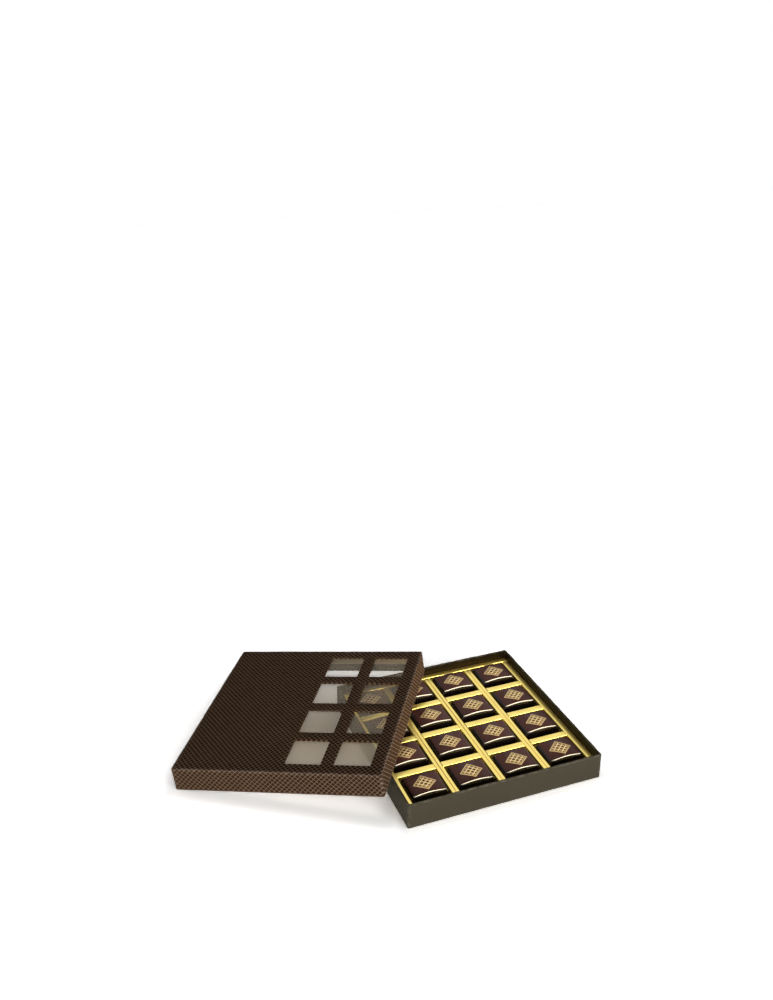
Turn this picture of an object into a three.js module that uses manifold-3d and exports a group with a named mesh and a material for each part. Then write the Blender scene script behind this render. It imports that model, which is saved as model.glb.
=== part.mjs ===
// A square box of sixteen wrapped chocolates: a paper-covered tray with a grid of folded gold card,
// and a lid with eight windows, lifted off and leaning across one corner of the tray.
// Millimetres, +Z up. The origin is the centre of the tray's underside and +X runs along its front wall.
import * as THREE from "three";
import { mergeVertices } from "three/addons/utils/BufferGeometryUtils.js";
import Module from "manifold-3d";

const wasm = await Module();
wasm.setup();

// Sheet materials
const boardThick = 1.0; // grey board of the tray and the lid
const paperThick = 0.25; // paper glued over the board
const cardThick = 0.5; // gold card of the dividers
const filmThick = 0.2; // clear film behind the windows
const glueGap = 0.1; // left between layers that are glued or lie on each other
const cornerRound = 1.4; // upright edges of the tray and the lid
const tightCorner = 0.3; // the same corners seen from inside

// Wrapped chocolates, one in each cell
const cells = 4; // along each side of the tray
const sweetWidth = 29.6;
const sweetDepth = 24.6;
const sweetHeight = 17;
const sweetFit = 2.75; // from a chocolate's side to the divider beside it
const sweetSetBack = 0.8; // how far a chocolate stands behind the middle of its cell
const crownRise = 3.4; // how far the middle of the top stands above its shoulders
const shoulder = 1.3; // rounding between the sides and the top
const foot = 1.2; // rounding at the bottom
const endRound = 0.9; // rounding of the front and back edges
const wrapperThick = 0.3;
const flapGapWidth = 14; // opening underneath, between the folded flaps
const flapGapDepth = 9;

// Dividers and border of the grid
const ribWidth = 5.4; // flat top of a folded divider
const ribHeight = 13.5;
const ribFit = 0.3; // clearance in the slots and at the ends of the dividers
const borderWidth = 4.8; // flat top of a border strip
const wallFit = 0.2; // clearance between the border strips and the tray's walls

// Tray and lid
const headroom = 4.2; // from the chocolates' tops up to the tray's rim
const foldFit = 0.3; // from the end of the folded-in paper to the floor or the lid's lining
const lidFit = 0.2; // clearance round the tray when the box is shut
const lidHeight = 20.8;
const windowColumns = 2; // windows stand over the right-hand columns only
const windowBar = 10.5; // lid left standing between two windows
const filmMargin = 5; // film past the outermost window edges
const lidTurnIn = 7.5; // covering paper folded in over the lid's rim
const liningStep = 1.2; // how far the lining stands back from each window edge

// How the lid leans
const lidTurn = -33.42; // degrees, seen from above, from the tray's front wall
const leftCrossing = 37.95; // along the tray's left rim, from its front corner to the lid's right wall
const backCrossing = 63.7; // along the tray's back rim, from its left corner to the lid's back wall
const restGap = 0.3; // left between the lid and the rims that it leans on

// How far a cutter reaches past the face that it opens
const cutPast = 1;

// Levels and spans worked out from the sizes above
const wall = 2 * paperThick + 2 * glueGap + boardThick; // paper, board, paper
const floorTop = wall;
const standing = floorTop + glueGap; // foot of the dividers and the chocolates
const ribTop = standing + ribHeight;
const ribMiddle = standing + ribHeight / 2;
const cellPitch = sweetWidth + 2 * sweetFit + ribWidth;
const gridInner = (cells * cellPitch - ribWidth) / 2; // inner edge of the border strips
const gridOuter = gridInner + borderWidth;
const traySide = 2 * (gridOuter + wallFit + wall);
const trayHeight = standing + sweetHeight + headroom;
const lidSide = traySide + 2 * (lidFit + wall);
const windowSide = cellPitch - windowBar;
const lidBoardTop = lidHeight - paperThick - glueGap;
const lidBoardUnder = lidBoardTop - boardThick;
const filmTop = lidBoardUnder - glueGap;
const liningTop = filmTop - filmThick - glueGap;
const liningUnder = liningTop - paperThick;

const PAPER_OLIVE = { color: 0x45402f, roughness: 0.75 };
const BOARD_GREY = { color: 0x8b857a, roughness: 0.9 };
const LINING_DARK = { color: 0x2b2417, roughness: 0.7 };
const LINING_KRAFT = { color: 0xb5986c, roughness: 0.8 };
const CARD_GOLD = { color: 0xd8b54a, roughness: 0.28, metalness: 0.9 };
const CHOCOLATE = { color: 0x3a1d10, roughness: 0.5 };
const WRAPPER = { color: 0x2a1612, roughness: 0.25 };
const PAPER_BROWN = { color: 0x3b2a20, roughness: 0.6 };
const CLEAR_FILM = { color: 0xe8e8e4, roughness: 0.08, transparent: true, opacity: 0.2 };

// A closed geometry as a solid that can be joined and cut
function solid(geometry) {
  const bare = geometry.clone();
  bare.deleteAttribute("normal");
  bare.deleteAttribute("uv");
  const merged = mergeVertices(bare);
  return new wasm.Manifold(
    new wasm.Mesh({
      numProp: 3,
      vertProperties: new Float32Array(merged.attributes.position.array),
      triVerts: new Uint32Array(merged.index.array),
    }),
  );
}

function geometryOf(body) {
  const mesh = body.getMesh();
  const geometry = new THREE.BufferGeometry();
  geometry.setAttribute("position", new THREE.BufferAttribute(mesh.vertProperties, 3));
  geometry.setIndex(new THREE.BufferAttribute(mesh.triVerts, 1));
  geometry.computeVertexNormals();
  return geometry;
}

const around = (middle, size) => [middle - size / 2, middle + size / 2];

function block([x0, x1], [y0, y1], [z0, z1]) {
  const box = new THREE.BoxGeometry(x1 - x0, y1 - y0, z1 - z0);
  box.translate((x0 + x1) / 2, (y0 + y1) / 2, (z0 + z1) / 2);
  return solid(box);
}

// A closed body through loops of equal length, one after another, capped at both ends
function skin(loops) {
  const count = loops[0].length;
  const corners = loops.flatMap((loop) => loop.flatMap((p) => [p.x, p.y, p.z]));
  const faces = [];
  for (let start = 0; start < (loops.length - 1) * count; start += count) {
    for (let i = 0; i < count; i++) {
      const a = start + i;
      const b = start + ((i + 1) % count);
      faces.push(a, b, b + count, a, b + count, a + count);
    }
  }
  const last = (loops.length - 1) * count;
  for (let i = 1; i + 1 < count; i++) {
    faces.push(0, i + 1, i);
    faces.push(last, last + i, last + i + 1);
  }
  const geometry = new THREE.BufferGeometry();
  geometry.setAttribute("position", new THREE.Float32BufferAttribute(corners, 3));
  geometry.setIndex(faces);
  return solid(geometry);
}

// A square loop at one level of a case, set in from its outer face; loops further in have tighter corners
function caseLoop(caseSide, [setIn, level]) {
  const round = Math.max(cornerRound - setIn, tightCorner);
  const middle = caseSide / 2 - setIn - round;
  const shape = new THREE.Shape();
  shape.absarc(middle, middle, round, 0, Math.PI / 2);
  shape.absarc(-middle, middle, round, Math.PI / 2, Math.PI);
  shape.absarc(-middle, -middle, round, Math.PI, 1.5 * Math.PI);
  shape.absarc(middle, -middle, round, 1.5 * Math.PI, 2 * Math.PI);
  return shape.getPoints(2).map((p) => new THREE.Vector3(p.x, p.y, level));
}

// A square case or sheet: its wall's profile, as points [set in, level], carried round the square
const squareCase = (caseSide, profile) => skin(profile.map((point) => caseLoop(caseSide, point)));

const box = new THREE.Group();
box.name = "box_of_chocolates";

function place(group, name, body, look) {
  const mesh = new THREE.Mesh(geometryOf(body), new THREE.MeshStandardMaterial(look));
  mesh.name = name;
  group.add(mesh);
}

// Positions of the cells and of the dividers between them, along one side of the tray
const cellCentres = Array.from({ length: cells }, (_, i) => (i - (cells - 1) / 2) * cellPitch);
const ribCentres = Array.from({ length: cells - 1 }, (_, i) => (i + 1 - cells / 2) * cellPitch);

// Tray: board, covering paper and a lining on the floor
const boardIn = paperThick + glueGap;

// Grey board of a case standing open side up, as a profile that starts at the underside
const boardProfile = (height) => [
  [boardIn, boardIn],
  [boardIn, height - boardIn],
  [boardIn + boardThick, height - boardIn],
  [boardIn + boardThick, boardIn + boardThick],
];

// Its paper goes up the outside, over the rim and down the inside to foldEnd
const wrapProfile = (height, foldEnd) => [
  [0, 0],
  [0, height],
  [wall, height],
  [wall, foldEnd],
  [wall - paperThick, foldEnd],
  [wall - paperThick, height - paperThick],
  [paperThick, height - paperThick],
  [paperThick, paperThick],
];

// A flat sheet inside a case, between two levels
const sheetProfile = (setIn, low, high) => [
  [setIn, low],
  [setIn, high],
];

const trayBoard = squareCase(traySide, boardProfile(trayHeight));
const trayWrap = squareCase(traySide, wrapProfile(trayHeight, floorTop + foldFit));
const trayLining = squareCase(traySide, sheetProfile(wall + glueGap, floorTop - paperThick, floorTop));
place(box, "tray_board", trayBoard, BOARD_GREY);
place(box, "tray_wrap", trayWrap, PAPER_OLIVE);
place(box, "tray_floor_lining", trayLining, LINING_DARK);

// A strip of card folded into an upside-down channel, its profile pushed along X or along Y
function foldedStrip(alongX, middle, length, width) {
  const outer = width / 2;
  const inner = outer - cardThick;
  const under = ribTop - cardThick;
  const profile = [
    [-outer, standing],
    [-inner, standing],
    [-inner, under],
    [inner, under],
    [inner, standing],
    [outer, standing],
    [outer, ribTop],
    [-outer, ribTop],
  ];
  const shape = new THREE.Shape(profile.map(([across, level]) => new THREE.Vector2(middle + across, level)));
  const strip = new THREE.ExtrudeGeometry(shape, { depth: length, bevelEnabled: false });
  strip.translate(0, 0, -length / 2).rotateX(Math.PI / 2);
  if (alongX) {
    strip.rotateZ(Math.PI / 2);
  }
  return solid(strip);
}

// Dividers interlock: the long ones are slotted from below, the cross ones from above
const ribLength = 2 * (gridInner - ribFit);
const slotWidth = ribWidth + 2 * ribFit;
for (const [i, middle] of ribCentres.entries()) {
  let long = foldedStrip(false, middle, ribLength, ribWidth);
  let cross = foldedStrip(true, middle, ribLength, ribWidth);
  const acrossStrip = around(middle, slotWidth);
  for (const other of ribCentres) {
    const slot = around(other, slotWidth);
    long = long.subtract(block(acrossStrip, slot, [standing - cutPast, ribMiddle + ribFit / 2]));
    cross = cross.subtract(block(slot, acrossStrip, [ribMiddle - ribFit / 2, ribTop + cutPast]));
  }
  place(box, `divider_long_${i + 1}`, long, CARD_GOLD);
  place(box, `divider_cross_${i + 1}`, cross, CARD_GOLD);
}

// Border strips fill the space between the grid and the walls; the side ones fit between front and back
const borderMiddle = (gridOuter + gridInner) / 2;
place(box, "border_front", foldedStrip(true, -borderMiddle, 2 * gridOuter, borderWidth), CARD_GOLD);
place(box, "border_back", foldedStrip(true, borderMiddle, 2 * gridOuter, borderWidth), CARD_GOLD);
place(box, "border_left", foldedStrip(false, -borderMiddle, ribLength, borderWidth), CARD_GOLD);
place(box, "border_right", foldedStrip(false, borderMiddle, ribLength, borderWidth), CARD_GOLD);

// Outline of a chocolate seen from the front, drawn in all round by inset
function loafOutline(inset) {
  const half = sweetWidth / 2 - inset;
  const top = sweetHeight - inset;
  const side = top - crownRise - shoulder;
  const shape = new THREE.Shape();
  shape.moveTo(foot - half, inset);
  shape.lineTo(half - foot, inset);
  shape.quadraticCurveTo(half, inset, half, inset + foot);
  shape.lineTo(half, side);
  shape.quadraticCurveTo(half, side + shoulder, half - shoulder, top - crownRise / 2);
  shape.quadraticCurveTo(half / 3, top, 0, top);
  shape.quadraticCurveTo(-half / 3, top, shoulder - half, top - crownRise / 2);
  shape.quadraticCurveTo(-half, side + shoulder, -half, side);
  shape.lineTo(-half, inset + foot);
  shape.quadraticCurveTo(-half, inset, foot - half, inset);
  return shape.getPoints(3).slice(0, -1);
}

// A chocolate's body, with its end edges rounded in as many steps as steps lists, from the end inwards
function loaf(inset, steps) {
  const half = sweetDepth / 2 - inset;
  const at = (outline, y) => outline.map((p) => new THREE.Vector3(p.x, y, p.y));
  const ends = steps.map(([along, drawnIn]) => ({
    y: half - along * endRound,
    outline: loafOutline(inset + drawnIn * endRound),
  }));
  const backEnd = ends.map(({ y, outline }) => at(outline, y));
  const frontEnd = ends.map(({ y, outline }) => at(outline, -y)).reverse();
  return skin([...backEnd, ...frontEnd]);
}

const roundEnd = [[0, 1], [0.3, 0.3], [1, 0]];
const plainEnd = [[0, 1], [1, 0]];
const flapGap = block(around(0, flapGapWidth), around(0, flapGapDepth), [-cutPast, sweetHeight / 2]);
const wrapper = loaf(0, roundEnd).subtract(loaf(wrapperThick, plainEnd)).subtract(flapGap);
const chocolate = loaf(wrapperThick + glueGap, plainEnd);
for (const [row, y] of cellCentres.entries()) {
  for (const [column, x] of cellCentres.entries()) {
    const sweet = new THREE.Group();
    sweet.position.set(x, y + sweetSetBack, standing);
    box.add(sweet);
    const cell = `r${row + 1}c${column + 1}`;
    place(sweet, `chocolate_${cell}`, chocolate, CHOCOLATE);
    place(sweet, `wrapper_${cell}`, wrapper, WRAPPER);
  }
}

// Lid, drawn the right way up round its own centre with its rim at height 0
const windowCentres = cellCentres
  .slice(cells - windowColumns)
  .flatMap((x) => cellCentres.map((y) => [x, y]));

function windows(grow, levels) {
  const side = windowSide + 2 * grow;
  const holes = windowCentres.map(([x, y]) => block(around(x, side), around(y, side), levels));
  return holes.reduce((all, hole) => all.add(hole));
}

// The profile of a case standing open side up, turned over onto its rim
const turnedOver = (profile) => profile.map(([setIn, level]) => [setIn, lidHeight - level]).reverse();

function lidBoard() {
  const board = squareCase(lidSide, turnedOver(boardProfile(lidHeight)));
  return board.subtract(windows(boardIn, [lidBoardUnder - cutPast, lidHeight]));
}

// The covering paper is also folded down through each window
function lidWrap() {
  const paper = squareCase(lidSide, turnedOver(wrapProfile(lidHeight, lidHeight - lidTurnIn)));
  const sleeves = windows(paperThick, [lidBoardUnder, lidHeight - paperThick / 2]);
  return paper.add(sleeves).subtract(windows(0, [lidBoardUnder - cutPast, lidHeight + cutPast]));
}

function lidFilm() {
  const reach = windowSide / 2 + filmMargin;
  const last = cellCentres[cells - 1] + reach;
  const spanX = [cellCentres[cells - windowColumns] - reach, last];
  return block(spanX, [-last, last], [filmTop - filmThick, filmTop]);
}

// The lining lies against the board, from the closed side to the turned-in paper
function lidLining() {
  const againstBoard = wall - paperThick;
  const hem = lidHeight - lidTurnIn - foldFit;
  const profile = [
    [againstBoard, lidHeight - liningTop],
    [againstBoard, hem],
    [wall, hem],
    [wall, lidHeight - liningUnder],
  ];
  const lining = squareCase(lidSide, turnedOver(profile));
  return lining.subtract(windows(liningStep, [liningUnder - cutPast, liningTop + cutPast]));
}

// The lid turns and leans about its front-left corner
const lid = new THREE.Group();
lid.name = "lid";
box.add(lid);
const lidCase = new THREE.Group();
lidCase.position.set(lidSide / 2, lidSide / 2, 0);
lid.add(lidCase);
place(lidCase, "lid_board", lidBoard(), BOARD_GREY);
place(lidCase, "lid_wrap", lidWrap(), PAPER_BROWN);
place(lidCase, "lid_window_film", lidFilm(), CLEAR_FILM);
place(lidCase, "lid_lining", lidLining(), LINING_KRAFT);

// Two equations in two unknowns
function solvePair([a, b, c], [d, e, f]) {
  const scale = a * e - b * d;
  return [(c * e - b * f) / scale, (a * f - c * d) / scale];
}

// The lid stands on three points: its front-left corner on the table, and the inner edges of its right
// and back walls where they cross the tray's left and back rims. Finds the slopes that meet all three.
function leaningPose() {
  const reach = lidSide - wall;
  const onLeft = new THREE.Vector2(-traySide / 2, leftCrossing - traySide / 2);
  const onBack = new THREE.Vector2(backCrossing - traySide / 2, traySide / 2);
  const apart = onLeft.clone().sub(onBack);
  const height = trayHeight + restGap;
  const pose = new THREE.Matrix4();
  const right = new THREE.Vector3();
  const back = new THREE.Vector3();
  const up = new THREE.Vector3();
  const rounds = 40; // each round corrects the slopes by what the last one missed
  let riseRight = 0;
  let riseBack = 0;
  for (let round = 0; round < rounds; round++) {
    const turn = new THREE.Matrix4().makeRotationZ(THREE.MathUtils.degToRad(lidTurn));
    const lean = new THREE.Matrix4().makeRotationY(-Math.asin(riseRight));
    const nod = new THREE.Matrix4().makeRotationX(Math.asin(riseBack / Math.sqrt(1 - riseRight ** 2)));
    pose.copy(turn).multiply(lean).multiply(nod).extractBasis(right, back, up);
    const [alongRight, alongBack] = solvePair([right.x, back.x, apart.x], [right.y, back.y, apart.y]);
    const upRightWall = reach + alongBack;
    const alongBackWall = reach - alongRight;
    const cornerX = onLeft.x - reach * right.x - upRightWall * back.x;
    const cornerY = onLeft.y - reach * right.y - upRightWall * back.y;
    pose.setPosition(cornerX, cornerY, 0);
    [riseRight, riseBack] = solvePair([reach, upRightWall, height], [alongBackWall, reach, height]);
  }
  return pose;
}

leaningPose().decompose(lid.position, lid.quaternion, lid.scale);

export default box;
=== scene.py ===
import math

import bpy
from mathutils import Matrix, Vector


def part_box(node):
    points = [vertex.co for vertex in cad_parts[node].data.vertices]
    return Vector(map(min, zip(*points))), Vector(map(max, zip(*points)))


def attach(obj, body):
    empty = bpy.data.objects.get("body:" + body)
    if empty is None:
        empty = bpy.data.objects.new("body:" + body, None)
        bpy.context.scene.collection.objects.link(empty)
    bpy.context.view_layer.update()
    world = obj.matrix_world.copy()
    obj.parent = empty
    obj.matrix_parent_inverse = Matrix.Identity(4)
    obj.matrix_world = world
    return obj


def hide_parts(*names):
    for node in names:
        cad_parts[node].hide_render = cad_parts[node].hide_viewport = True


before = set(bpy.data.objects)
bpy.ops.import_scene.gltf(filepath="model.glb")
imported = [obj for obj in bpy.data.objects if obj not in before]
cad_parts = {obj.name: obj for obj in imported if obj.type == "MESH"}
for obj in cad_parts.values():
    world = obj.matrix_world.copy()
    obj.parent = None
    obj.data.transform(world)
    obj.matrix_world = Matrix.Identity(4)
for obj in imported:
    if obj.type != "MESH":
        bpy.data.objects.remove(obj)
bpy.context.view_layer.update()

# A box of wrapped chocolates, with its lid leaning across a corner of the tray.
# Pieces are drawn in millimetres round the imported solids, then scaled to metres and put in place.
MM = 0.001

# Sizes in millimetres, as in the part's source
WALL = 1.7  # paper, board, paper
PAPER = 0.25
CARD = 0.5
FOLD_FIT = 0.3  # from the end of the tray's folded-in paper to its floor
LID_TURN_IN = 7.5  # paper folded in over the lid's rim
LID_BOARD_UNDER = 19.45  # underside of the lid's board, above its rim
CORNER_ROUND = 1.4  # upright corners of the tray and the lid
TIGHT_CORNER = 0.3  # least rounding of their inner corners, and that of the windows
CELLS = 4
WINDOW_COLUMNS = 2
WINDOW_SIDE = 30
RIB_FIT = 0.3  # play on each side of a divider in its slot
CROWN_RISE = 3.4  # arch of a chocolate's top
FOOT = 1.2  # rounding below a chocolate's sides
WRAPPER_THICK = 0.3
FLAP_GAP_WIDTH = 14  # opening between a wrapper's flaps underneath
FLAP_GAP_DEPTH = 9

# Finer shapes than the solids have, in millimetres
EDGE_ROUND = 0.75  # folded paper edges of the tray and the lid
CARD_ROUND = 0.55  # folded card edges
CORNER_STEPS = 6
EDGE_STEPS = 4
CURVE_STEPS = 7
WINDOW_STEPS = 2
DIVIDER_WIDER = 0.4  # dividers stand out from the solids by this much on each side
BORDER_WIDER = 0.9  # and border strips on their inner side
CREASE_HALF = 0.45  # scored line along the middle of the long dividers
CREASE_DEEP = 0.35
# Bevel at the ends of a wrapped chocolate, from its end face inwards: distance along, and drawn in by
BEVEL = ((0, 0.85), (0.06, 0.75), (0.75, 0.06), (0.85, 0))
ENDS_SHORTER = 0.15  # ends of a wrapper stop short of the solid's by this much
BILLOW = 1.6  # film drawn round the sides stands off the solid by this much
SHOULDER_WIDE = 2.3  # rounding between the film's sides and its top
SHOULDER_DEEP = 5.5
CUT_PAST = 1  # cutters run on past the face that they open
SAME_CORNER = 7  # decimals by which the corners of a mesh in metres are told apart
SMOOTH_BELOW = math.radians(32)

# Wear on the folds of the tray's and the lid's paper, which on the lid's print is also a painted highlight
WEAR_REACH = 1.2  # from the end of a fold to where its wear fades out, in millimetres
CORNER_WEAR = 0.7
EDGE_WEAR = 1.0
CORNER_PAST = 1.5  # a corner's fold reaches this many roundings in
EDGE_PAST = 1.1  # and an edge's fold this many roundings or walls

# Least cosine between a face's normal and a direction for the face to count as facing it
FACING = 0.5
FLAT_TOP = 0.8  # for the printed top of a wrapper

# Camera, in metres and degrees, at the photograph's viewpoint
CAMERA_AT = (-0.31967, -0.64529, 0.54117)
CAMERA_DOWN = 23.669
CAMERA_TURN = -21.178
CAMERA_LENS = 36.427  # on a 36 mm sensor along the longer side

# Light
WHITE = (1, 1, 1, 1)
SKY_LOW = 4.3  # world light near the horizon, and overhead
SKY_HIGH = 0.1
SKY_BAND = (0.16, 0.48)  # where one passes into the other, as the height of a direction
SKY_FRONT = (0.1, -1, 0)  # where the world light is strongest
SKY_BEHIND = 0.4  # its share on the other side
SKY_SEEN = 1.0  # the world as a background
FRONT_LAMP = {"at": (0.55, -1.75, 0.42), "target": (-0.05, 0, 0), "size": (0.6, 0.5), "power": 8}
# A long strip whose gleam runs along the folds that face it
GLEAM_LAMP = {"at": (0.6, -0.82, 1.17), "target": (0.6, 0, 0), "size": (3.2, 0.45), "power": 105}
GLEAM_COLOUR = (1, 0.86, 0.58)

# Floor, in metres
FLOOR_SIZE = 6
FLOOR_DEPTH = 0.02
FLOOR_ALBEDO = (0.8, 0.8, 0.79, 1)
FLOOR_UNDER_LIT = 3.1  # how pale the floor is seen to be under the lid, close to the box and away from it: painted light under the lid, painted shade close to the box
FLOOR_NEAR_SHADE = 2.4
FLOOR_FAR = 4.6
FLOOR_REACH = 0.026  # from the box to where the floor is at its palest
FLOOR_RIM = 0.012  # from the lid's edge inwards to where the floor counts as under it

# Parts of the range of a noise that are spread out into a full step
WIDE_SPAN = (0.2, 0.8)
HALF_SPAN = (0.25, 0.75)
MIDDLE_SPAN = (0.3, 0.7)

# Plain paper. Patterns are in features per metre here and below, and relief in metres.
PAPER_MOTTLE = 25
PAPER_FIBRE = 2600
PAPER_RUBS = 240
PAPER_RUB_SPAN = (0.35, 0.7)
FIBRE_STRETCH = (1, 0.35, 1)
PAPER_RELIEF = 0.00004
PAPER_SMOOTHER = 0.06  # how far its roughness goes down and up
PAPER_ROUGHER = 0.08

# Printed paper
PRINT_MOTTLE = 70
PRINT_RUB_SPAN = (0.35, 0.75)
PRINT_WEAR_AND_GLEAM = (0.04, 0.24)  # share of the wear and painted highlight between the rubbed patches and in them
PRINT_RELIEF = 0.00003
PRINT_ROUGH = (0.7, 0.85)
LATTICE_PITCH = 4.3  # millimetres
LATTICE_LINE = (0.1, 0.4)  # millimetres from a line's middle to where its ink begins to fade, and ends
INK_SPAN = (0.1, 0.75)
INK_SHARE = (0.65, 1.0)  # ink that the fibres take, at the least and at the most
# Ink lines paler on the folds: wear and a painted highlight
INK_WEAR_AND_GLEAM = 0.5
INK_RELIEF = 0.5

# Gold card
CARD_CLOUD = 90
CARD_GRAIN = 3000
CARD_GRAIN_SHARE = 0.06
CARD_RELIEF = 0.00012
CARD_ROUGH = (0.28, 0.36)

# Wrapper film and the lozenge on its top, whose lines are in shares of its half diagonals
WRAPPER_CLOUD = 180
WRAPPER_RIPPLE = 320
RIPPLE_STRETCH = (1, 0.4, 1)
WRAPPER_RELIEF = 0.00006
WRAPPER_ROUGHER = 0.06
LOZENGE_WIDE = 10.0  # half diagonals, in millimetres
LOZENGE_DEEP = 8.6
LOZENGE_PITCH = 0.5
LOZENGE_LINE = (0.05, 0.105)
LOZENGE_FIELD = (0.76, 0.78)  # where the lattice ends
FRAME_AT = 0.95
FRAME_LINE = (0.03, 0.07)
INNER_FRAME_AT = 0.8
INNER_FRAME_LINE = (0.01, 0.04)
LOZENGE_METAL = 0.7

# Chocolate
CHOCOLATE_CLOUD = 120
CHOCOLATE_PITS = 700
CHOCOLATE_RELIEF = 0.00005
CHOCOLATE_ROUGH = (0.35, 0.5)

# The lid's clear film
FILM_TINT = (0.78, 0.64, 0.43, 1)
FILM_SMEAR = 30
FILM_ROUGH = (0.05, 0.12)
HAZE_AND_REFLECTION_FRONT = 0.45  # how far it hides what is behind it; the heavier haze in front is a painted reflection
HAZE_BACK = 0.2
HAZE_BAND = (-0.046, -0.035)  # where one passes into the other, metres from its middle, under a bar


def arc(centre, radius, start, end, steps):
    """Points of an arc, angles in degrees."""
    angles = [math.radians(start + (end - start) * i / steps) for i in range(steps + 1)]
    return [(centre[0] + radius * math.cos(a), centre[1] + radius * math.sin(a)) for a in angles]


def curve(start, bend, end, steps=CURVE_STEPS):
    """Points of a quadratic curve, without its first one."""
    points = []
    for i in range(1, steps + 1):
        t = i / steps
        weights = ((1 - t) ** 2, 2 * t * (1 - t), t * t)
        points.append(tuple(sum(w * p[k] for w, p in zip(weights, (start, bend, end))) for k in (0, 1)))
    return points


def mesh_object(name, corners, faces):
    """A new object from corners and faces."""
    mesh = bpy.data.meshes.new(name)
    mesh.from_pydata([Vector(c) for c in corners], [], faces)
    mesh.validate()
    made = bpy.data.objects.new(name, mesh)
    bpy.context.scene.collection.objects.link(made)
    return made


def skin(name, loops):
    """A closed body through loops of equal length, capped at both ends."""
    count = len(loops[0])
    last = (len(loops) - 1) * count
    faces = []
    for start in range(0, last, count):
        for i in range(count):
            a = start + i
            b = start + (i + 1) % count
            faces.append((a, b, b + count, a + count))
    faces.append(tuple(reversed(range(count))))
    faces.append(tuple(range(last, last + count)))
    return mesh_object(name, [p for loop in loops for p in loop], faces)


def block(x, y, z, name="cutter"):
    """A box between two values along each axis."""
    corners = [(a, b, c) for c in z for b in y for a in x]
    faces = [(0, 2, 3, 1), (4, 5, 7, 6), (0, 1, 5, 4), (2, 6, 7, 3), (0, 4, 6, 2), (1, 3, 7, 5)]
    return mesh_object(name, corners, faces)


def square_loop(side, set_in, level, corner=CORNER_ROUND, steps=CORNER_STEPS):
    """A square loop set in from the outer face: round corners, and points where their wear fades out."""
    radius = max(corner - set_in, TIGHT_CORNER)
    middle = side / 2 - set_in - radius
    ways = [Vector(way) for way in ((0, 1), (-1, 0), (0, -1), (1, 0))]
    points = []
    for quarter, way in enumerate(ways):
        next_way = ways[(quarter + 1) % 4]
        round_corner = arc((way - next_way) * middle, radius, 90 * quarter, 90 * (quarter + 1), steps)
        turn = [Vector(p) for p in round_corner]
        points += [turn[0] - WEAR_REACH * way, *turn, turn[-1] + WEAR_REACH * next_way]
    return [(x, y, level) for x, y in points]


def wrap_profile(height, fold_end):
    """Covering paper of a case standing open side up: up the outside, over the rim and down the inside."""
    r = EDGE_ROUND
    faded = r + WEAR_REACH
    return (
        [(faded, 0)]
        + arc((r, r), r, 270, 180, EDGE_STEPS)
        + [(0, faded), (0, height - faded)]
        + arc((r, height - r), r, 180, 90, EDGE_STEPS)
        + arc((WALL - r, height - r), r, 90, 0, EDGE_STEPS)
        + [
            (WALL, height - faded),
            (WALL, fold_end),
            (WALL - PAPER, fold_end),
            (WALL - PAPER, height - PAPER),
            (PAPER, height - PAPER),
            (PAPER, PAPER),
        ]
    )


def combine(target, other, operation):
    """Joins or cuts target with other, which is used up."""
    modifier = target.modifiers.new(operation, "BOOLEAN")
    modifier.operation = operation
    modifier.object = other
    modifier.solver = "EXACT"
    graph = bpy.context.evaluated_depsgraph_get()
    mesh = bpy.data.meshes.new_from_object(target.evaluated_get(graph))
    target.modifiers.clear()
    target.data = mesh
    bpy.data.objects.remove(other)


def smooth(made):
    """Smooth shading, with edges above an angle kept sharp."""
    made.data.shade_smooth()
    made.data.set_sharp_from_angle(angle=SMOOTH_BELOW)


def to_metres(made, place=Matrix.Identity(4)):
    """Scales a piece drawn in millimetres and puts it in place."""
    made.data.transform(place @ Matrix.Scale(MM, 4))


def size_of(node):
    """Lowest and highest corner of a node, in millimetres."""
    low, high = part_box(node)
    return low / MM, high / MM


def square_reach(point):
    """Half the side of the square round the middle that a point lies on."""
    return max(abs(point.x), abs(point.y))


def mark_wear(made, half, height):
    """Marks the folds of a case: its corners, its rim and the edge of its closed side."""
    wear = made.data.attributes.new("wear", "FLOAT", "POINT")
    for i, vertex in enumerate(made.data.vertices):
        x, y, z = vertex.co
        at_corner = min(abs(x), abs(y)) > half - CORNER_PAST * CORNER_ROUND
        at_fold = min(z, height - z) < EDGE_PAST * EDGE_ROUND
        at_edge = at_fold and square_reach(vertex.co) > half - EDGE_PAST * WALL
        wear.data[i].value = max(CORNER_WEAR * at_corner, EDGE_WEAR * at_edge)


def add_flat_uv(made, half, height):
    """Unfolds a case into one flat sheet of paper, in millimetres from the middle of its closed side."""
    layer = made.data.uv_layers.new(name="paper")
    for face in made.data.polygons:
        n = face.normal
        for corner in face.loop_indices:
            x, y, z = made.data.vertices[made.data.loops[corner].vertex_index].co
            if abs(n.z) >= max(abs(n.x), abs(n.y)):
                flat = (x, y)
            elif abs(n.y) > abs(n.x):
                flat = (x, math.copysign(half + height - z, n.y))
            else:
                flat = (math.copysign(half + height - z, n.x), y)
            layer.data[corner].uv = flat


def set_looks(mesh, *looks):
    """Gives a mesh its materials, in order."""
    mesh.materials.clear()
    for look in looks:
        mesh.materials.append(look)


def dress(piece, body, *looks):
    """Gives a piece its materials and lets it ride on a body."""
    set_looks(piece.data, *looks)
    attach(piece, body)


# Shader nodes


def add(tree, kind, inputs=(), **settings):
    """A shader node with its settings and its inputs, which are values or sockets."""
    made = tree.nodes.new("ShaderNode" + kind)
    for key, value in settings.items():
        setattr(made, key, value)
    for key, value in dict(inputs).items():
        if isinstance(value, bpy.types.NodeSocket):
            tree.links.new(value, made.inputs[key])
        else:
            made.inputs[key].default_value = value
    return made


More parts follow.
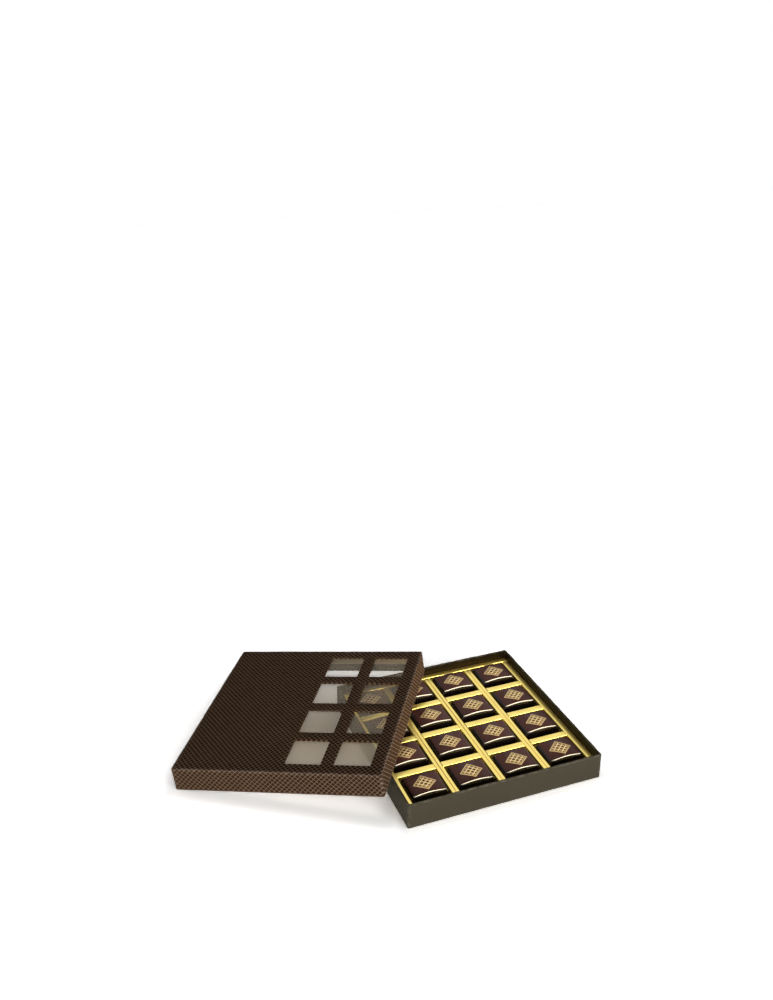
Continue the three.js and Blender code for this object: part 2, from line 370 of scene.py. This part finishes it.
def calc(tree, operation, *values):
    """The result of a sum on numbers or sockets."""
    return add(tree, "Math", dict(enumerate(values)), operation=operation).outputs[0]


def dot(tree, vector, way):
    """How far a vector reaches along a way."""
    return add(tree, "VectorMath", {0: vector, 1: way}, operation="DOT_PRODUCT").outputs["Value"]


def step(tree, value, low, high, first=0.0, last=1.0):
    """A smooth step from first to last as value goes from low to high."""
    inputs = {"Value": value, "From Min": low, "From Max": high, "To Min": first, "To Max": last}
    return add(tree, "MapRange", inputs, interpolation_type="SMOOTHSTEP").outputs[0]


def mix(tree, share, first, second):
    """A mix of two colours, by the node's own sockets for colours: inputs 6 and 7, output 2."""
    inputs = {"Factor": share, 6: first, 7: second}
    return add(tree, "Mix", inputs, data_type="RGBA").outputs[2]


def noise(tree, vector, scale, detail, stretch=None):
    """Noise from 0 to 1, its scale in features per metre where vector is in metres."""
    if stretch:
        vector = add(tree, "Mapping", {"Vector": vector, "Scale": stretch}).outputs[0]
    return add(tree, "TexNoise", {"Vector": vector, "Scale": scale, "Detail": detail}).outputs[0]


def place_of(tree):
    """Coordinates on the piece, in metres."""
    return add(tree, "TexCoord").outputs["Object"]


def worn_folds(tree):
    """The wear that is marked on the points of a piece."""
    return add(tree, "Attribute", attribute_name="wear").outputs["Fac"]


def bump(tree, shader, height, distance, strength=1.0):
    """Fine relief on a shader's surface."""
    made = add(tree, "Bump", {"Height": height, "Distance": distance, "Strength": strength})
    tree.links.new(made.outputs[0], shader.inputs["Normal"])


def lattice_lines(tree, u, v, pitch, line):
    """Ink of a lattice of diamonds, from 1 on its lines to 0 between them."""
    rising = calc(tree, "PINGPONG", calc(tree, "ADD", u, v), pitch / 2)
    falling = calc(tree, "PINGPONG", calc(tree, "SUBTRACT", u, v), pitch / 2)
    return step(tree, calc(tree, "MINIMUM", rising, falling), *line, 1.0, 0.0)


# Materials


def material(name, **constants):
    """A material and its principled shader, with constants set on the shader's own sockets."""
    made = bpy.data.materials.new(name)
    made.use_nodes = True
    tree = made.node_tree
    shader = tree.nodes["Principled BSDF"]
    for key, value in constants.items():
        shader.inputs[key.replace("_", " ")].default_value = value
    return made, tree, shader


def paper_material(name, dark, light, worn, roughness, gloss=0.15):
    """Paper: faintly mottled, with fine fibres and paler folds."""
    made, tree, shader = material(name, Specular_IOR_Level=gloss)
    at = place_of(tree)
    mottle = noise(tree, at, PAPER_MOTTLE, detail=3)
    fibre = noise(tree, at, PAPER_FIBRE, detail=4, stretch=FIBRE_STRETCH)
    share = calc(tree, "MULTIPLY", calc(tree, "ADD", mottle, fibre), 0.5)
    colour = mix(tree, step(tree, share, *HALF_SPAN), dark, light)
    rubs = step(tree, noise(tree, at, PAPER_RUBS, detail=3), *PAPER_RUB_SPAN)
    rubbed = calc(tree, "MULTIPLY", worn_folds(tree), rubs)
    rough = step(tree, fibre, *WIDE_SPAN, roughness - PAPER_SMOOTHER, roughness + PAPER_ROUGHER)
    tree.links.new(mix(tree, rubbed, colour, worn), shader.inputs["Base Color"])
    tree.links.new(rough, shader.inputs["Roughness"])
    bump(tree, shader, fibre, PAPER_RELIEF)
    return made


def lattice_material(name, dark, light, line, worn):
    """Printed paper: a lattice of diamonds on a mottled ground."""
    made, tree, shader = material(name, Specular_IOR_Level=0.0)
    flat = add(tree, "SeparateXYZ", {"Vector": add(tree, "UVMap", uv_map="paper").outputs[0]})
    lines = lattice_lines(tree, flat.outputs[0], flat.outputs[1], LATTICE_PITCH, LATTICE_LINE)
    at = place_of(tree)
    mottle = noise(tree, at, PRINT_MOTTLE, detail=3)
    fibre = noise(tree, at, PAPER_FIBRE, detail=4)
    ink = calc(tree, "MULTIPLY", lines, step(tree, fibre, *INK_SPAN, *INK_SHARE))
    colour = mix(tree, ink, mix(tree, mottle, dark, light), line)
    # Paler on the folds, most on the ink lines: wear, and a painted highlight along the lid's folds
    rubs = step(tree, noise(tree, at, PAPER_RUBS, detail=3), *PRINT_RUB_SPAN, *PRINT_WEAR_AND_GLEAM)
    rubs_and_ink_gleam = calc(tree, "ADD", rubs, calc(tree, "MULTIPLY", ink, INK_WEAR_AND_GLEAM))
    rubbed = calc(tree, "MULTIPLY", worn_folds(tree), rubs_and_ink_gleam)
    tree.links.new(mix(tree, rubbed, colour, worn), shader.inputs["Base Color"])
    tree.links.new(step(tree, fibre, *WIDE_SPAN, *PRINT_ROUGH), shader.inputs["Roughness"])
    bump(tree, shader, calc(tree, "ADD", fibre, calc(tree, "MULTIPLY", ink, INK_RELIEF)), PRINT_RELIEF)
    return made


def gold_material(name, dark, light):
    """Metallic gold card: a soft cloud in its colour and a fine grain in its gloss."""
    made, tree, shader = material(name, Metallic=1.0)
    at = place_of(tree)
    cloud = noise(tree, at, CARD_CLOUD, detail=3)
    grain = noise(tree, at, CARD_GRAIN, detail=3)
    relief = calc(tree, "ADD", cloud, calc(tree, "MULTIPLY", grain, CARD_GRAIN_SHARE))
    tree.links.new(mix(tree, cloud, dark, light), shader.inputs["Base Color"])
    tree.links.new(step(tree, grain, *HALF_SPAN, *CARD_ROUGH), shader.inputs["Roughness"])
    bump(tree, shader, relief, CARD_RELIEF, strength=0.5)
    return made


def wrapper_material(name, dark, light, gloss, roughness):
    """Printed film drawn tight, with slight ripples."""
    made, tree, shader = material(name, Specular_IOR_Level=gloss)
    at = place_of(tree)
    cloud = noise(tree, at, WRAPPER_CLOUD, detail=3)
    ripple = noise(tree, at, WRAPPER_RIPPLE, detail=2, stretch=RIPPLE_STRETCH)
    rough = step(tree, cloud, *MIDDLE_SPAN, roughness, roughness + WRAPPER_ROUGHER)
    tree.links.new(mix(tree, cloud, dark, light), shader.inputs["Base Color"])
    tree.links.new(rough, shader.inputs["Roughness"])
    bump(tree, shader, ripple, WRAPPER_RELIEF, strength=0.6)
    return made


def lozenge_ring(tree, out, at, line):
    """Ink of one line round the lozenge."""
    off = calc(tree, "ABSOLUTE", calc(tree, "SUBTRACT", out, at))
    return step(tree, off, *line, 1.0, 0.0)


def print_lozenge(made, gold):
    """Prints a lozenge of gold lattice in the middle of a wrapper's film."""
    tree = made.node_tree
    shader = tree.nodes["Principled BSDF"]
    film = shader.inputs["Base Color"].links[0].from_socket
    flat = add(tree, "SeparateXYZ", {"Vector": place_of(tree)})
    x = calc(tree, "DIVIDE", flat.outputs[0], LOZENGE_WIDE * MM)
    y = calc(tree, "DIVIDE", flat.outputs[1], LOZENGE_DEEP * MM)
    out = calc(tree, "ADD", calc(tree, "ABSOLUTE", x), calc(tree, "ABSOLUTE", y))
    outer_line = lozenge_ring(tree, out, FRAME_AT, FRAME_LINE)
    inner_line = lozenge_ring(tree, out, INNER_FRAME_AT, INNER_FRAME_LINE)
    lattice = lattice_lines(tree, x, y, LOZENGE_PITCH, LOZENGE_LINE)
    field = calc(tree, "MULTIPLY", lattice, step(tree, out, *LOZENGE_FIELD, 1.0, 0.0))
    ink = calc(tree, "MAXIMUM", calc(tree, "MAXIMUM", outer_line, inner_line), field)
    tree.links.new(mix(tree, ink, film, gold), shader.inputs["Base Color"])
    tree.links.new(calc(tree, "MULTIPLY", ink, LOZENGE_METAL), shader.inputs["Metallic"])


def chocolate_material(name, dark, light):
    """Moulded chocolate, slightly cloudy and pitted."""
    made, tree, shader = material(name, Specular_IOR_Level=0.4)
    at = place_of(tree)
    cloud = noise(tree, at, CHOCOLATE_CLOUD, detail=4)
    tree.links.new(mix(tree, cloud, dark, light), shader.inputs["Base Color"])
    tree.links.new(step(tree, cloud, *MIDDLE_SPAN, *CHOCOLATE_ROUGH), shader.inputs["Roughness"])
    bump(tree, shader, noise(tree, at, CHOCOLATE_PITS, detail=3), CHOCOLATE_RELIEF)
    return made


def film_material(name, middle, backwards):
    """Clear film, made hazier in the front row of windows by a painted reflection."""
    made, tree, shader = material(name, Base_Color=FILM_TINT, IOR=1.45)
    at = place_of(tree)
    behind = calc(tree, "SUBTRACT", dot(tree, at, backwards), backwards.dot(middle))
    smear = noise(tree, at, FILM_SMEAR, detail=3)
    # Haze heavier towards the front: a painted reflection
    tree.links.new(step(tree, behind, *HAZE_BAND, HAZE_AND_REFLECTION_FRONT, HAZE_BACK), shader.inputs["Alpha"])
    tree.links.new(step(tree, smear, *MIDDLE_SPAN, *FILM_ROUGH), shader.inputs["Roughness"])
    return made


olive_paper = paper_material(
    "olive_paper",
    dark=(0.056, 0.048, 0.031, 1),
    light=(0.064, 0.055, 0.037, 1),
    worn=(0.12, 0.105, 0.078, 1),
    roughness=0.6,
    gloss=0.04,
)
dark_paper = paper_material(
    "dark_paper",
    dark=(0.007, 0.0045, 0.002, 1),
    light=(0.011, 0.007, 0.003, 1),
    worn=(0.05, 0.045, 0.03, 1),
    roughness=0.45,
    gloss=0.04,
)
# Near-black plain paper for the lid's turn-in: painted shade
turn_in_shade_paper = paper_material(
    "turn_in_shade_paper",
    dark=(0.012, 0.011, 0.008, 1),
    light=(0.018, 0.017, 0.013, 1),
    worn=(0.05, 0.045, 0.03, 1),
    roughness=0.7,
    gloss=0.05,
)
kraft_lining = paper_material(
    "kraft_lining",
    dark=(0.43, 0.33, 0.2, 1),
    light=(0.5, 0.39, 0.25, 1),
    worn=(0.55, 0.45, 0.3, 1),
    roughness=0.75,
)
dark_lining = paper_material(
    "dark_lining",
    dark=(0.02, 0.016, 0.009, 1),
    light=(0.032, 0.026, 0.015, 1),
    worn=(0.05, 0.04, 0.03, 1),
    roughness=0.6,
)
grey_board = paper_material(
    "grey_board",
    dark=(0.2, 0.18, 0.15, 1),
    light=(0.3, 0.28, 0.24, 1),
    worn=(0.35, 0.33, 0.3, 1),
    roughness=0.85,
)
brown_lattice = lattice_material(
    "brown_lattice",
    dark=(0.028, 0.013, 0.006, 1),
    light=(0.036, 0.017, 0.008, 1),
    line=(0.3, 0.205, 0.135, 1),
    # Pale folds: wear and a painted highlight
    worn=(0.4, 0.3, 0.23, 1),
)
gold_card = gold_material("gold_card", dark=(0.88, 0.68, 0.17, 1), light=(0.94, 0.77, 0.25, 1))
# Darker gold for the sides of the long dividers' crease: painted shade in the crease
crease_shade_card = gold_material("crease_shade_card", dark=(0.6, 0.42, 0.1, 1), light=(0.68, 0.5, 0.13, 1))
wrapper_side = wrapper_material(
    "wrapper_side",
    dark=(0.006, 0.004, 0.004, 1),
    light=(0.012, 0.007, 0.006, 1),
    gloss=0.25,
    roughness=0.12,
)
wrapper_fold = wrapper_material(
    "wrapper_fold",
    dark=(0.02, 0.01, 0.008, 1),
    light=(0.03, 0.015, 0.012, 1),
    gloss=1.0,
    roughness=0.1,
)
wrapper_top = wrapper_material(
    "wrapper_top",
    dark=(0.11, 0.034, 0.024, 1),
    light=(0.135, 0.044, 0.032, 1),
    gloss=0.12,
    roughness=0.36,
)
print_lozenge(wrapper_top, gold=(0.9, 0.66, 0.3, 1))
dark_chocolate = chocolate_material(
    "dark_chocolate",
    dark=(0.035, 0.013, 0.006, 1),
    light=(0.06, 0.024, 0.011, 1),
)

# Tray cover, whose paper is dark where it is folded in

tray_low, tray_high = size_of("tray_wrap")
tray_side = tray_high.x - tray_low.x
tray_height = tray_high.z
tray_profile = wrap_profile(tray_height, WALL + FOLD_FIT)
tray_cover = skin("tray_cover", [square_loop(tray_side, *point) for point in tray_profile])
mark_wear(tray_cover, tray_side / 2, tray_height)
smooth(tray_cover)
to_metres(tray_cover)
dress(tray_cover, "tray", olive_paper, dark_paper)
tray_inside = (tray_side / 2 - WALL + PAPER / 2) * MM
for face in tray_cover.data.polygons:
    faces_in = face.center.xy.dot(face.normal.xy) < 0
    face.material_index = int(faces_in and square_reach(face.center) < tray_inside)
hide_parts("tray_wrap")

# Dividers and border strips, and whether each runs along X

strips = {
    **{f"divider_long_{i}": False for i in range(1, CELLS)},
    **{f"divider_cross_{i}": True for i in range(1, CELLS)},
    "border_left": False,
    "border_right": False,
    "border_front": True,
    "border_back": True,
}


def strip_box(node, along_x):
    """Lowest and highest corner of a strip as it is drawn, clear of its neighbours."""
    low, high = size_of(node)
    across, along = (1, 0) if along_x else (0, 1)
    if node.startswith("divider"):
        low[across] -= DIVIDER_WIDER
        high[across] += DIVIDER_WIDER
    elif low[across] < 0:
        high[across] += BORDER_WIDER
    else:
        low[across] -= BORDER_WIDER
    if node not in ("border_front", "border_back"):
        low[along] += BORDER_WIDER
        high[along] -= BORDER_WIDER
    return low, high


def folded_strip(name, length, width, low, top, creased):
    """Card folded into an upside-down channel, running along Y round its own middle."""
    outer = width / 2
    inner = outer - CARD
    r = CARD_ROUND
    crease = [(CREASE_HALF, top), (0, top - CREASE_DEEP), (-CREASE_HALF, top)] if creased else []
    profile = (
        [(outer, low)]
        + arc((outer - r, top - r), r, 0, 90, EDGE_STEPS)
        + crease
        + arc((r - outer, top - r), r, 90, 180, EDGE_STEPS)
        + [(-outer, low), (-inner, low), (-inner, top - CARD), (inner, top - CARD), (inner, low)]
    )
    return skin(name, [[(x, y, z) for x, z in profile] for y in (length / 2, -length / 2)])


def in_crease(face, middle):
    """Whether a face of a strip along Y is one of the two sides of its crease."""
    return face.normal.z > FACING and abs(face.center.x - middle) < CREASE_HALF * MM


rib_boxes = [strip_box(f"divider_long_{i}", False) for i in range(1, CELLS)]
rib_middles = [(low.x + high.x) / 2 for low, high in rib_boxes]
rib_width = rib_boxes[-1][1].x - rib_boxes[-1][0].x
slot_half = rib_width / 2 + RIB_FIT
for node, along_x in strips.items():
    low, high = strip_box(node, along_x)
    span = high - low
    length, width = (span.x, span.y) if along_x else (span.y, span.x)
    creased = node.startswith("divider_long")
    strip = folded_strip("strip_" + node, length, width, low.z, high.z, creased)
    if node.startswith("divider"):
        half_height = (low.z + high.z) / 2
        levels = (half_height, high.z + CUT_PAST) if along_x else (low.z - CUT_PAST, half_height)
        for middle in rib_middles:
            slot = block((-width, width), (middle - slot_half, middle + slot_half), levels)
            combine(strip, slot, "DIFFERENCE")
    smooth(strip)
    centre = Vector(((low.x + high.x) / 2, (low.y + high.y) / 2, 0)) * MM
    turn = Matrix.Rotation(math.radians(-90 if along_x else 0), 4, "Z")
    to_metres(strip, Matrix.Translation(centre) @ turn)
    dress(strip, "tray", gold_card, crease_shade_card)
    # The crease's sides take the darker gold: painted shade
    for face in strip.data.polygons:
        face.material_index = int(creased and in_crease(face, centre.x))
    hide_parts(node)

# Wrapped chocolates

sweet_low, sweet_high = size_of("wrapper_r1c1")
sweet_width, sweet_depth, sweet_height = sweet_high - sweet_low


def loaf_outline(inset):
    """Outline of a chocolate seen from the front, drawn in all round."""
    half = sweet_width / 2 + BILLOW - inset
    top = sweet_height - inset
    ridge = top - CROWN_RISE / 2
    points = [(half - FOOT, inset)]
    points += curve(points[-1], (half, inset), (half, inset + FOOT))
    points += [(half, ridge - SHOULDER_DEEP)]
    points += curve(points[-1], (half, ridge - SHOULDER_DEEP / 3), (half - SHOULDER_WIDE, ridge))
    points += curve(points[-1], (half / 3, top), (0, top))
    return points + [(-x, z) for x, z in reversed(points[:-1])]


def loaf(name, inset):
    """A chocolate's body with rounded ends, standing on height 0."""
    half = sweet_depth / 2 - inset - ENDS_SHORTER
    ends = [(half - along, drawn) for along, drawn in BEVEL]
    loops = [[(x, y, z) for x, z in loaf_outline(inset + drawn)] for y, drawn in ends]
    loops += [[(x, -y, z) for x, y, z in loop] for loop in reversed(loops)]
    return skin(name, loops)


wrapper = loaf("wrapper_shape", 0)
combine(wrapper, loaf("inside", WRAPPER_THICK), "DIFFERENCE")
flap_gap = block(
    (-FLAP_GAP_WIDTH / 2, FLAP_GAP_WIDTH / 2),
    (-FLAP_GAP_DEPTH / 2, FLAP_GAP_DEPTH / 2),
    (-CUT_PAST, sweet_height / 2),
)
combine(wrapper, flap_gap, "DIFFERENCE")
smooth(wrapper)
to_metres(wrapper)
wrapper_mesh = wrapper.data
bpy.data.objects.remove(wrapper)
wrapper_looks = [wrapper_side, wrapper_top, wrapper_fold]
set_looks(wrapper_mesh, *wrapper_looks)
fold_from = (sweet_depth / 2 - ENDS_SHORTER - BEVEL[-1][0]) * MM
for face in wrapper_mesh.polygons:
    on_top = face.normal.z > FACING and face.center.z > sweet_height / 2 * MM
    if on_top and abs(face.center.y) > fold_from:
        face.material_index = wrapper_looks.index(wrapper_fold)
    elif on_top and face.normal.z > FLAT_TOP:
        face.material_index = wrapper_looks.index(wrapper_top)

for row in range(1, CELLS + 1):
    for column in range(1, CELLS + 1):
        cell = f"r{row}c{column}"
        low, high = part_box("wrapper_" + cell)
        piece = bpy.data.objects.new("wrap_" + cell, wrapper_mesh)
        bpy.context.scene.collection.objects.link(piece)
        piece.location = ((low.x + high.x) / 2, (low.y + high.y) / 2, low.z)
        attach(piece, "sweet_" + cell)
        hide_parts("wrapper_" + cell)

# Lid cover: the film is a plain block, so its edges give the lid's own axes

film_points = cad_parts["lid_window_film"].data.vertices
film_corners = {tuple(round(c, SAME_CORNER) for c in v.co): v.co.copy() for v in film_points}
first, *others = film_corners.values()
others.sort(key=lambda c: (c - first).length)
lid_up = (others[0] - first).normalized()
lid_right = (others[1] - first).normalized()
lid_up *= math.copysign(1, lid_up.z)
lid_right *= math.copysign(1, lid_right.x)
lid_back = lid_up.cross(lid_right)
axes = Matrix((lid_right, lid_back, lid_up)).transposed().to_4x4()
lid_corners = [axes.transposed() @ v.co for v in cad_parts["lid_wrap"].data.vertices]
lid_low = Vector([min(c[k] for c in lid_corners) for k in range(3)])
lid_high = Vector([max(c[k] for c in lid_corners) for k in range(3)])
lid_foot = axes @ Vector(((lid_low.x + lid_high.x) / 2, (lid_low.y + lid_high.y) / 2, lid_low.z))
lid_place = Matrix.Translation(lid_foot) @ axes
lid_side = (lid_high.x - lid_low.x) / MM
lid_height = (lid_high.z - lid_low.z) / MM

lid_profile = wrap_profile(lid_height, lid_height - LID_TURN_IN)
lid_loops = [square_loop(lid_side, set_in, lid_height - level) for set_in, level in reversed(lid_profile)]
lid_cover = skin("lid_cover", lid_loops)
cell_pitch = rib_middles[1] - rib_middles[0]
cell_middles = [(i - (CELLS - 1) / 2) * cell_pitch for i in range(CELLS)]


def window_body(x, y, loops):
    """A body through one window, from loops of side and height."""
    shape = [square_loop(side, 0, level, TIGHT_CORNER, WINDOW_STEPS) for side, level in loops]
    return skin("cutter", [[(px + x, py + y, pz) for px, py, pz in loop] for loop in shape])


# Each window is a sleeve of folded-down paper, opened by a hole that flares out at the top
flare = [
    (WINDOW_SIDE + 2 * (EDGE_ROUND - dx), lid_height - EDGE_ROUND + dz)
    for dx, dz in arc((0, 0), EDGE_ROUND, 0, 90, EDGE_STEPS)
]
hole_loops = [(WINDOW_SIDE, LID_BOARD_UNDER - CUT_PAST), *flare, (flare[-1][0], lid_height + CUT_PAST)]
sleeve_side = WINDOW_SIDE + 2 * PAPER
sleeve_loops = [(sleeve_side, LID_BOARD_UNDER), (sleeve_side, lid_height - PAPER / 2)]
for x in cell_middles[CELLS - WINDOW_COLUMNS:]:
    for y in cell_middles:
        combine(lid_cover, window_body(x, y, sleeve_loops), "UNION")
        combine(lid_cover, window_body(x, y, hole_loops), "DIFFERENCE")
mark_wear(lid_cover, lid_side / 2, lid_height)
add_flat_uv(lid_cover, lid_side / 2, lid_height)
smooth(lid_cover)
to_metres(lid_cover, lid_place)
dress(lid_cover, "lid", brown_lattice, turn_in_shade_paper)

# The paper folded in at the rim is drawn plain and near-black: painted shade in place of its lattice print
to_lid = lid_place.inverted()
lid_inside = (lid_side / 2 - WALL - PAPER / 2) * MM
for face in lid_cover.data.polygons:
    centre = to_lid @ face.center
    away = to_lid.to_3x3() @ face.normal
    faces_in = centre.xy.dot(away.xy) < -FACING * centre.xy.length
    face.material_index = int(faces_in and square_reach(centre) > lid_inside)
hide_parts("lid_wrap")

# Nodes that keep their own shape

clear_film = film_material("clear_film", lid_foot, lid_back)
kept = {
    "tray_board": grey_board,
    "lid_board": grey_board,
    "tray_floor_lining": dark_lining,
    "lid_lining": kraft_lining,
    "lid_window_film": clear_film,
}
for name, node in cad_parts.items():
    look = dark_chocolate if name.startswith("chocolate") else kept.get(name)
    if look:
        set_looks(node.data, look)

# Floor, light and camera


def seen_rays(tree):
    """1 for rays that show the background: the camera's own, and those by gloss and glass."""
    path = add(tree, "LightPath").outputs
    gloss_and_glass = calc(tree, "MAXIMUM", path["Is Glossy Ray"], path["Is Transmission Ray"])
    return calc(tree, "MAXIMUM", path["Is Camera Ray"], gloss_and_glass)


def outside_square(tree, middle, turn, half):
    """How far a point of the floor lies outside an upright square."""
    inputs = {"Vector": place_of(tree), "Location": middle, "Rotation": (0, 0, turn)}
    local = add(tree, "Mapping", inputs, vector_type="TEXTURE").outputs[0]
    aside = add(tree, "VectorMath", {0: local}, operation="ABSOLUTE").outputs[0]
    parts = add(tree, "SeparateXYZ", {"Vector": aside}).outputs
    return calc(tree, "SUBTRACT", calc(tree, "MAXIMUM", parts[0], parts[1]), half)


def floor_material(name):
    """A white floor, seen paler away from the tray and the lid: painted shade close to them, painted light
    under the lid.
    """
    made = bpy.data.materials.new(name)
    made.use_nodes = True
    tree = made.node_tree
    tree.nodes.clear()
    from_tray = outside_square(tree, (0, 0, 0), 0, tray_side / 2 * MM)
    from_lid = outside_square(tree, lid_foot, math.atan2(lid_right.y, lid_right.x), lid_side / 2 * MM)
    away = calc(tree, "MINIMUM", from_tray, from_lid)
    # Painted shade: the floor is seen darker close to the box; painted light: paler under the lid
    beside_shade = step(tree, away, 0, FLOOR_REACH, FLOOR_NEAR_SHADE, FLOOR_FAR)
    under_lid_light = step(tree, from_lid, -FLOOR_RIM, 0, FLOOR_UNDER_LIT - FLOOR_NEAR_SHADE, 0)
    seen = calc(tree, "ADD", beside_shade, under_lid_light)
    diffuse = add(tree, "BsdfDiffuse", {"Color": mix(tree, seen_rays(tree), FLOOR_ALBEDO, seen)})
    output = add(tree, "OutputMaterial")
    tree.links.new(diffuse.outputs[0], output.inputs[0])
    return made


def studio_world(name):
    """White light from low down, strongest in front, in a room that is seen as plain white."""
    made = bpy.data.worlds.new(name)
    made.use_nodes = True
    tree = made.node_tree
    way = add(tree, "TexCoord").outputs["Generated"]
    height = add(tree, "SeparateXYZ", {"Vector": way}).outputs[2]
    side = step(tree, dot(tree, way, SKY_FRONT), -1, 1, SKY_BEHIND, 1)
    sky = calc(tree, "MULTIPLY", step(tree, height, *SKY_BAND, SKY_LOW, SKY_HIGH), side)
    inputs = {"Value": seen_rays(tree), "To Min": sky, "To Max": SKY_SEEN}
    strength = add(tree, "MapRange", inputs).outputs[0]
    background = tree.nodes["Background"]
    background.inputs["Color"].default_value = WHITE
    tree.links.new(strength, background.inputs["Strength"])
    return made


def softbox(name, at, target, size, power):
    """A rectangular lamp, turned towards a target."""
    lamp = bpy.data.lights.new(name, "AREA")
    lamp.shape = "RECTANGLE"
    lamp.size, lamp.size_y = size
    lamp.energy = power
    made = bpy.data.objects.new(name, lamp)
    bpy.context.scene.collection.objects.link(made)
    made.location = at
    made.rotation_euler = (Vector(target) - Vector(at)).to_track_quat("-Z", "Y").to_euler()
    return made


floor_span = (-FLOOR_SIZE / 2, FLOOR_SIZE / 2)
floor = block(floor_span, floor_span, (-FLOOR_DEPTH, 0), "floor")
set_looks(floor.data, floor_material("floor"))

bpy.context.scene.world = studio_world("studio")
softbox("front", **FRONT_LAMP)
gleam = softbox("gleam", **GLEAM_LAMP)
gleam.data.color = GLEAM_COLOUR
gleam.visible_diffuse = False

camera = bpy.data.objects.new("camera", bpy.data.cameras.new("camera"))
bpy.context.scene.collection.objects.link(camera)
camera.location = CAMERA_AT
camera.rotation_euler = (math.radians(90 - CAMERA_DOWN), 0, math.radians(CAMERA_TURN))
camera.data.lens = CAMERA_LENS
bpy.context.scene.camera = camera
bpy.context.scene.view_settings.view_transform = "Standard"
